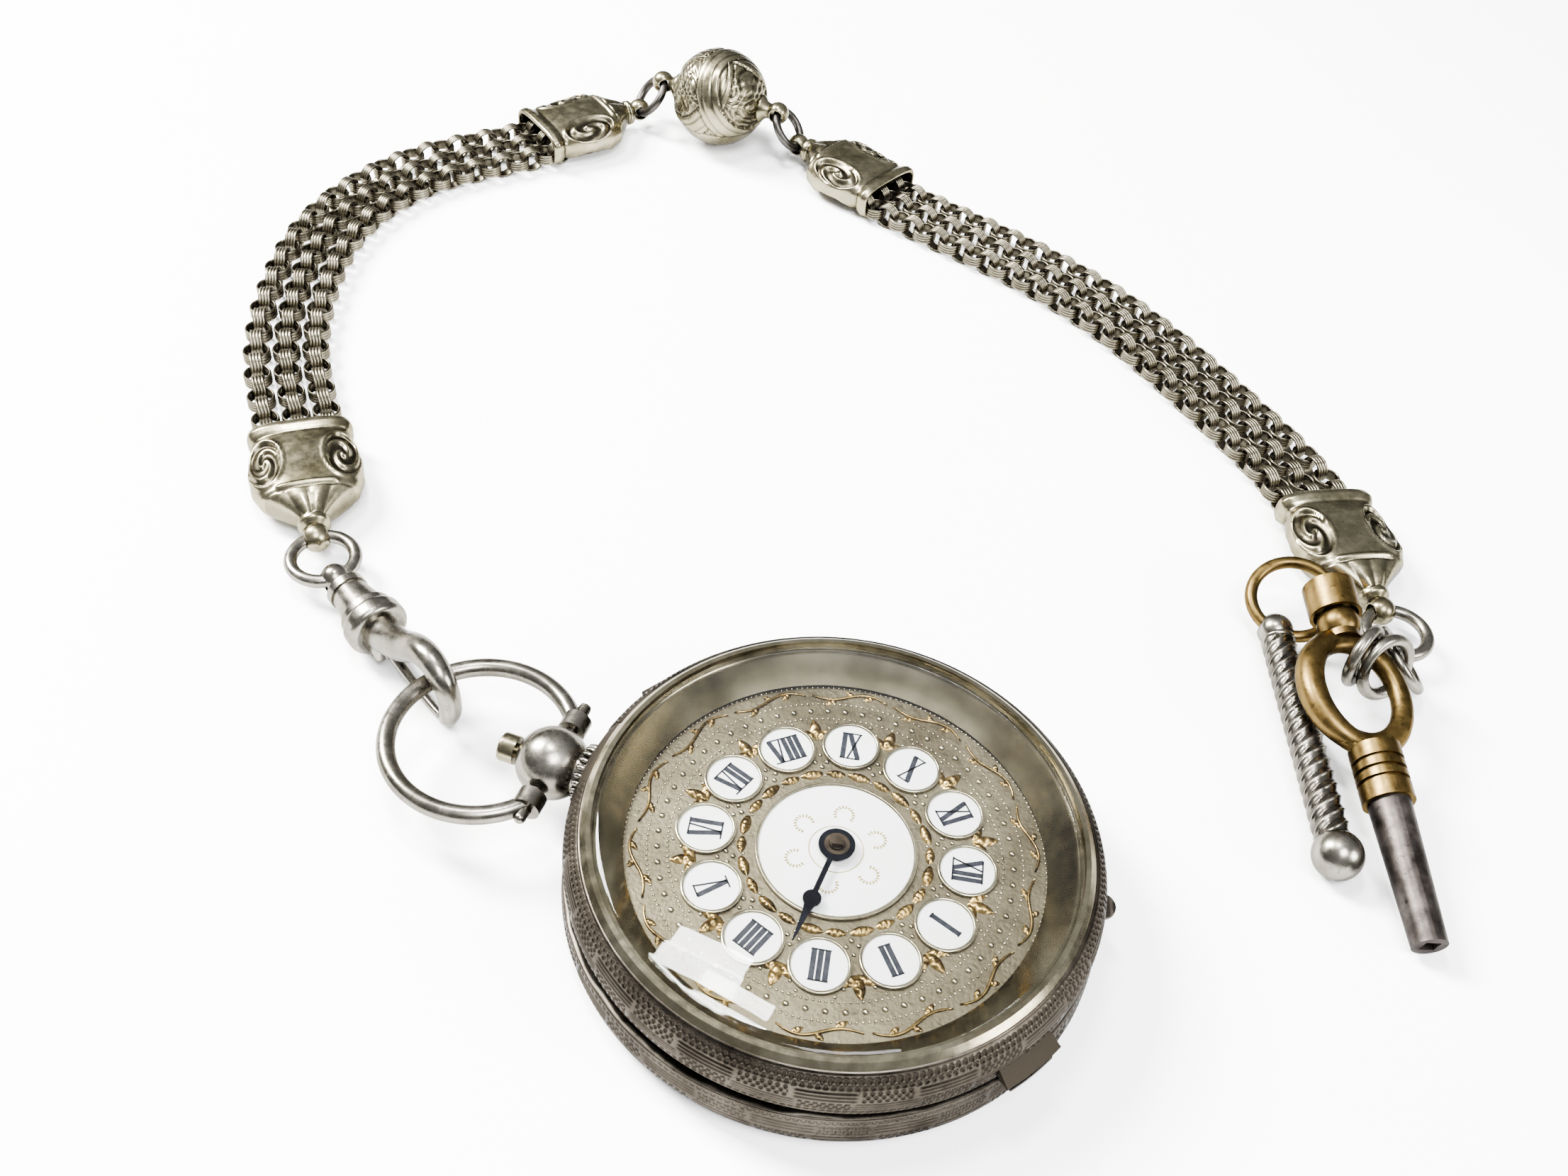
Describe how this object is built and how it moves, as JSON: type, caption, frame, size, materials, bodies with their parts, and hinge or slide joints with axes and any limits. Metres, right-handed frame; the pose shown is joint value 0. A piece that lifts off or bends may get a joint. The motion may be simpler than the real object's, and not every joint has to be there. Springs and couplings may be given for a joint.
{
  "type": "pocket watch",
  "caption": "Key-wound pocket watch lying dial up, with engraved silver case, cartouche dial, belcher chain with ball slider, swivel clip, T-bar and winding key.",
  "frame": {"origin": "centre of the flat of the case back, on the plane the watch and chain lie on", "axes": "+Z out through the dial along the case axis, +Y away from the viewer towards the chain's far loop, +X towards the key end of the chain"},
  "size_m": [0.125, 0.1426, 0.0122],
  "materials": {
    "engraved_silver": "oxidised silver, engine turned",
    "case_silver": "dull silver",
    "bright_silver": "polished silver",
    "button_silver": "polished silver",
    "niello_silver": "silver with dark relief",
    "chain_silver": "worn silver",
    "crystal": "clear domed glass",
    "dial": "frosted silvered gilt",
    "enamel": "white enamel",
    "hand": "blackened steel",
    "key_brass": "worn brass",
    "key_steel": "dark steel",
    "gilt_brass": "gilt",
    "blued_steel": "blued",
    "ruby": "polished"
  },
  "bodies": {
    "case": {"case_middle": "case_silver", "hinge_pins": "case_silver", "pendant": "bright_silver", "bow_screws": "bright_silver", "dial_plate": "dial", "enamel_discs": "enamel", "main_plate": "gilt_brass", "barrel_bridge": "gilt_brass", "train_bridge": "gilt_brass", "balance_cock": "gilt_brass", "movement_screws": "blued_steel", "jewels": "ruby", "hairspring": "blued_steel"},
    "bezel_assembly": {"bezel": "engraved_silver", "crystal": "crystal"},
    "back": {"back_cover": "engraved_silver"},
    "inner": {"inner_cover": "case_silver"},
    "button": {"push_button": "button_silver"},
    "bow": {"bow": "bright_silver"},
    "clip": {"clip_hook": "bright_silver", "clip_rivet": "bright_silver"},
    "clip_gate": {"clip_lever": "bright_silver"},
    "clip_end": {"clip_swivel": "bright_silver"},
    "ring_1": {"ring_1": "bright_silver"},
    "cap_1": {"cap_1": "niello_silver", "strand_a_1": "chain_silver"},
    "chain_a": {"strand_a_2": "chain_silver"},
    "cap_2": {"strand_a_3": "chain_silver", "cap_2": "niello_silver"},
    "ring_2": {"ring_2": "bright_silver"},
    "ball": {"chain_ball": "niello_silver"},
    "ring_3": {"ring_3": "bright_silver"},
    "cap_3": {"cap_3": "niello_silver", "strand_b_1": "chain_silver"},
    "chain_b": {"strand_b_2": "chain_silver"},
    "cap_4": {"strand_b_3": "chain_silver", "cap_4": "niello_silver"},
    "ring_6": {"ring_6": "bright_silver"},
    "ring_7": {"ring_7": "bright_silver"},
    "ring_5": {"ring_5": "bright_silver"},
    "ring_4": {"ring_4": "bright_silver"},
    "key": {"key_handle": "key_brass", "key_pipe": "key_steel"},
    "key_barrel": {"key_swivel": "key_brass"},
    "split_ring": {"key_ring": "key_brass"},
    "t_bar": {"t_bar": "bright_silver"},
    "centre": {"centre_wheel": "gilt_brass", "cannon_pinion": "blued_steel"},
    "third": {"third_wheel": "gilt_brass"},
    "fourth": {"fourth_wheel": "gilt_brass"},
    "escape": {"escape_wheel": "gilt_brass"},
    "barrel": {"barrel": "gilt_brass", "mainspring": "blued_steel"},
    "minute": {"minute_wheel": "gilt_brass"},
    "hour": {"hour_wheel": "gilt_brass", "hour_hand": "hand"},
    "balance": {"balance_wheel": "gilt_brass"},
    "winding_arbor": {"barrel_arbor": "blued_steel", "ratchet_wheel": "blued_steel"},
    "click": {"click": "blued_steel"}
  },
  "joints": [
    {"name": "bezel_hinge", "type": "hinge", "parent": "case", "child": "bezel_assembly", "pos_m": [-0.01477, 0.01556, 0.00655], "axis": [-0.7254, -0.6884, 0], "range_deg": [0, 95]},
    {"name": "back_cover_hinge", "type": "hinge", "parent": "case", "child": "back", "pos_m": [-0.01497, 0.01578, 0.0041], "axis": [0.7254, 0.6884, 0], "range_deg": [0, 115]},
    {"name": "inner_cover_hinge", "type": "hinge", "parent": "case", "child": "inner", "pos_m": [-0.01373, 0.01447, 0.00295], "axis": [0.7254, 0.6884, 0], "range_deg": [0, 100]},
    {"name": "button_push", "type": "slide", "parent": "case", "child": "button", "axis": [0.9646, -0.2639, 0], "range_m": [0, 0.0006], "stiffness_N_per_m": 300},
    {"name": "bow_swing", "type": "hinge", "parent": "case", "child": "bow", "pos_m": [-0.02349, 0.00643, 0.0055], "axis": [0.2639, 0.9646, 0], "range_deg": [-60, 30]},
    {"name": "clip_slide", "type": "hinge", "parent": "bow", "child": "clip", "pos_m": [-0.02971, 0.00813, 0.0055], "axis": [0, 0, 1], "range_deg": [-40, 60]},
    {"name": "lever_press", "type": "hinge", "parent": "clip", "child": "clip_gate", "pos_m": [-0.04107, 0.0201, 0.00165], "axis": [-0.7254, -0.6884, 0], "range_deg": [0, 13], "stiffness_Nm_per_rad": 0.01},
    {"name": "clip_swivel_turn", "type": "hinge", "parent": "clip", "child": "clip_end", "pos_m": [-0.04485, 0.02409, 0.003], "axis": [-0.6884, 0.7254, 0], "continuous": true},
    {"name": "ring_1_turn", "type": "hinge", "parent": "clip_end", "child": "ring_1", "pos_m": [-0.04922, 0.02909, 0.0026], "axis": [0, 0, 1], "range_deg": [-15, 8]},
    {"name": "cap_1_turn", "type": "hinge", "parent": "ring_1", "child": "cap_1", "pos_m": [-0.04922, 0.02909, 0.0026], "axis": [0, 0, 1], "range_deg": [-20, 10]},
    {"name": "chain_a_flex_1", "type": "hinge", "parent": "cap_1", "child": "chain_a", "pos_m": [-0.06388, 0.06879, 0.00147], "axis": [0.9927, 0.1203, 0], "range_deg": [0, 18]},
    {"name": "chain_a_flex_2", "type": "hinge", "parent": "chain_a", "child": "cap_2", "pos_m": [-0.06151, 0.09058, 0.00147], "axis": [0.9016, -0.4326, 0], "range_deg": [0, 18]},
    {"name": "chain_b_flex_1", "type": "hinge", "parent": "cap_3", "child": "chain_b", "pos_m": [0.02153, 0.08967, 0.00147], "axis": [-0.6148, -0.7887, 0], "range_deg": [0, 18]},
    {"name": "chain_b_flex_2", "type": "hinge", "parent": "chain_b", "child": "cap_4", "pos_m": [0.03629, 0.07348, 0.00147], "axis": [-0.8213, -0.5705, 0], "range_deg": [0, 18]},
    {"name": "ring_2_tilt", "type": "hinge", "parent": "cap_2", "child": "ring_2", "pos_m": [-0.03223, 0.11654, 0.0024], "axis": [0.3256, -0.9455, 0], "range_deg": [0, 8]},
    {"name": "ball_tilt", "type": "hinge", "parent": "ring_2", "child": "ball", "pos_m": [-0.02925, 0.11757, 0.00615], "axis": [0.3256, -0.9455, 0], "range_deg": [-2, 8]},
    {"name": "ring_3_tilt", "type": "hinge", "parent": "ball", "child": "ring_3", "pos_m": [-0.01375, 0.11283, 0.00615], "axis": [-0.2419, -0.9703, 0], "range_deg": [-2, 8]},
    {"name": "cap_3_tilt", "type": "hinge", "parent": "ring_3", "child": "cap_3", "pos_m": [-0.01069, 0.11207, 0.0024], "axis": [-0.2419, -0.9703, 0], "range_deg": [0, 8]},
    {"name": "ring_6_tilt", "type": "hinge", "parent": "cap_4", "child": "ring_6", "pos_m": [0.0515, 0.0378, 0.0024], "axis": [-0.9397, -0.342, 0], "range_deg": [0, 10]},
    {"name": "ring_7_turn", "type": "hinge", "parent": "ring_6", "child": "ring_7", "pos_m": [0.05187, 0.03083, 0.00308], "axis": [0.7362, 0.149, 0.6602], "range_deg": [-1, 3]},
    {"name": "ring_5_turn", "type": "hinge", "parent": "ring_7", "child": "ring_5", "pos_m": [0.04928, 0.02812, 0.00477], "axis": [0.4878, -0.8057, 0.3359], "range_deg": [-1, 3]},
    {"name": "ring_4_turn", "type": "hinge", "parent": "ring_5", "child": "ring_4", "pos_m": [0.04694, 0.02835, 0.00566], "axis": [0.7692, -0.6302, 0.106], "range_deg": [-1, 3]},
    {"name": "key_turn", "type": "hinge", "parent": "ring_4", "child": "key", "pos_m": [0.04694, 0.02835, 0.00566], "axis": [0, 0, 1], "range_deg": [-2, 2]},
    {"name": "key_swivel_turn", "type": "hinge", "parent": "key", "child": "key_barrel", "pos_m": [0.04476, 0.03402, 0.00655], "axis": [-0.1174, 0.983, 0.1413], "range_deg": [-3, 3]},
    {"name": "split_ring_turn", "type": "hinge", "parent": "key_barrel", "child": "split_ring", "pos_m": [0.0426, 0.0371, 0.0034], "axis": [-0.1349, -0.2959, 0.9456], "range_deg": [-2, 0]},
    {"name": "t_bar_turn", "type": "hinge", "parent": "split_ring", "child": "t_bar", "pos_m": [0.04074, 0.03381, 0.0021], "axis": [0.8749, -0.4836, -0.0265], "range_deg": [-1, 2]},
    {"name": "fourth_wheel_spin", "type": "hinge", "parent": "case", "child": "fourth", "pos_m": [0.00677, -0.00436, 0.004], "axis": [0, 0, 1], "continuous": true},
    {"name": "centre_wheel_spin", "type": "hinge", "parent": "case", "child": "centre", "pos_m": [0, 0, 0.004], "axis": [0, 0, 1], "continuous": true},
    {"name": "third_wheel_spin", "type": "hinge", "parent": "case", "child": "third", "pos_m": [0.00252, -0.00436, 0.004], "axis": [0, 0, 1], "continuous": true},
    {"name": "escape_wheel_spin", "type": "hinge", "parent": "case", "child": "escape", "pos_m": [0.00737, -0.00778, 0.004], "axis": [0, 0, 1], "continuous": true},
    {"name": "barrel_spin", "type": "hinge", "parent": "case", "child": "barrel", "pos_m": [0.00142, 0.00808, 0.004], "axis": [0, 0, 1], "continuous": true},
    {"name": "minute_wheel_spin", "type": "hinge", "parent": "case", "child": "minute", "pos_m": [-0.00282, -0.00103, 0.004], "axis": [0, 0, 1], "continuous": true},
    {"name": "hour_wheel_spin", "type": "hinge", "parent": "case", "child": "hour", "pos_m": [0, 0, 0.004], "axis": [0, 0, 1], "continuous": true},
    {"name": "balance_swing", "type": "hinge", "parent": "case", "child": "balance", "pos_m": [0.00521, -0.00856, 0.003], "axis": [0, 0, 1], "range_deg": [-135, 135], "stiffness_Nm_per_rad": 0.000001},
    {"name": "winding_arbor_spin", "type": "hinge", "parent": "case", "child": "winding_arbor", "pos_m": [0.00142, 0.00808, 0.003], "axis": [0, 0, 1], "continuous": true},
    {"name": "click_lift", "type": "hinge", "parent": "case", "child": "click", "pos_m": [-0.00263, 0.00699, 0.002], "axis": [0, 0, 1], "range_deg": [-12, 0], "stiffness_Nm_per_rad": 0.0001}
  ],
  "couplings": [
    {"joint": "inner_cover_hinge", "follows": "back_cover_hinge", "ratio": 0.85},
    {"joint": "centre_wheel_spin", "follows": "fourth_wheel_spin", "ratio": 0.016667},
    {"joint": "third_wheel_spin", "follows": "fourth_wheel_spin", "ratio": -0.13333},
    {"joint": "escape_wheel_spin", "follows": "fourth_wheel_spin", "ratio": -10},
    {"joint": "barrel_spin", "follows": "fourth_wheel_spin", "ratio": -0.0020833},
    {"joint": "minute_wheel_spin", "follows": "fourth_wheel_spin", "ratio": -0.0055556},
    {"joint": "hour_wheel_spin", "follows": "fourth_wheel_spin", "ratio": 0.0013889}
  ]
}
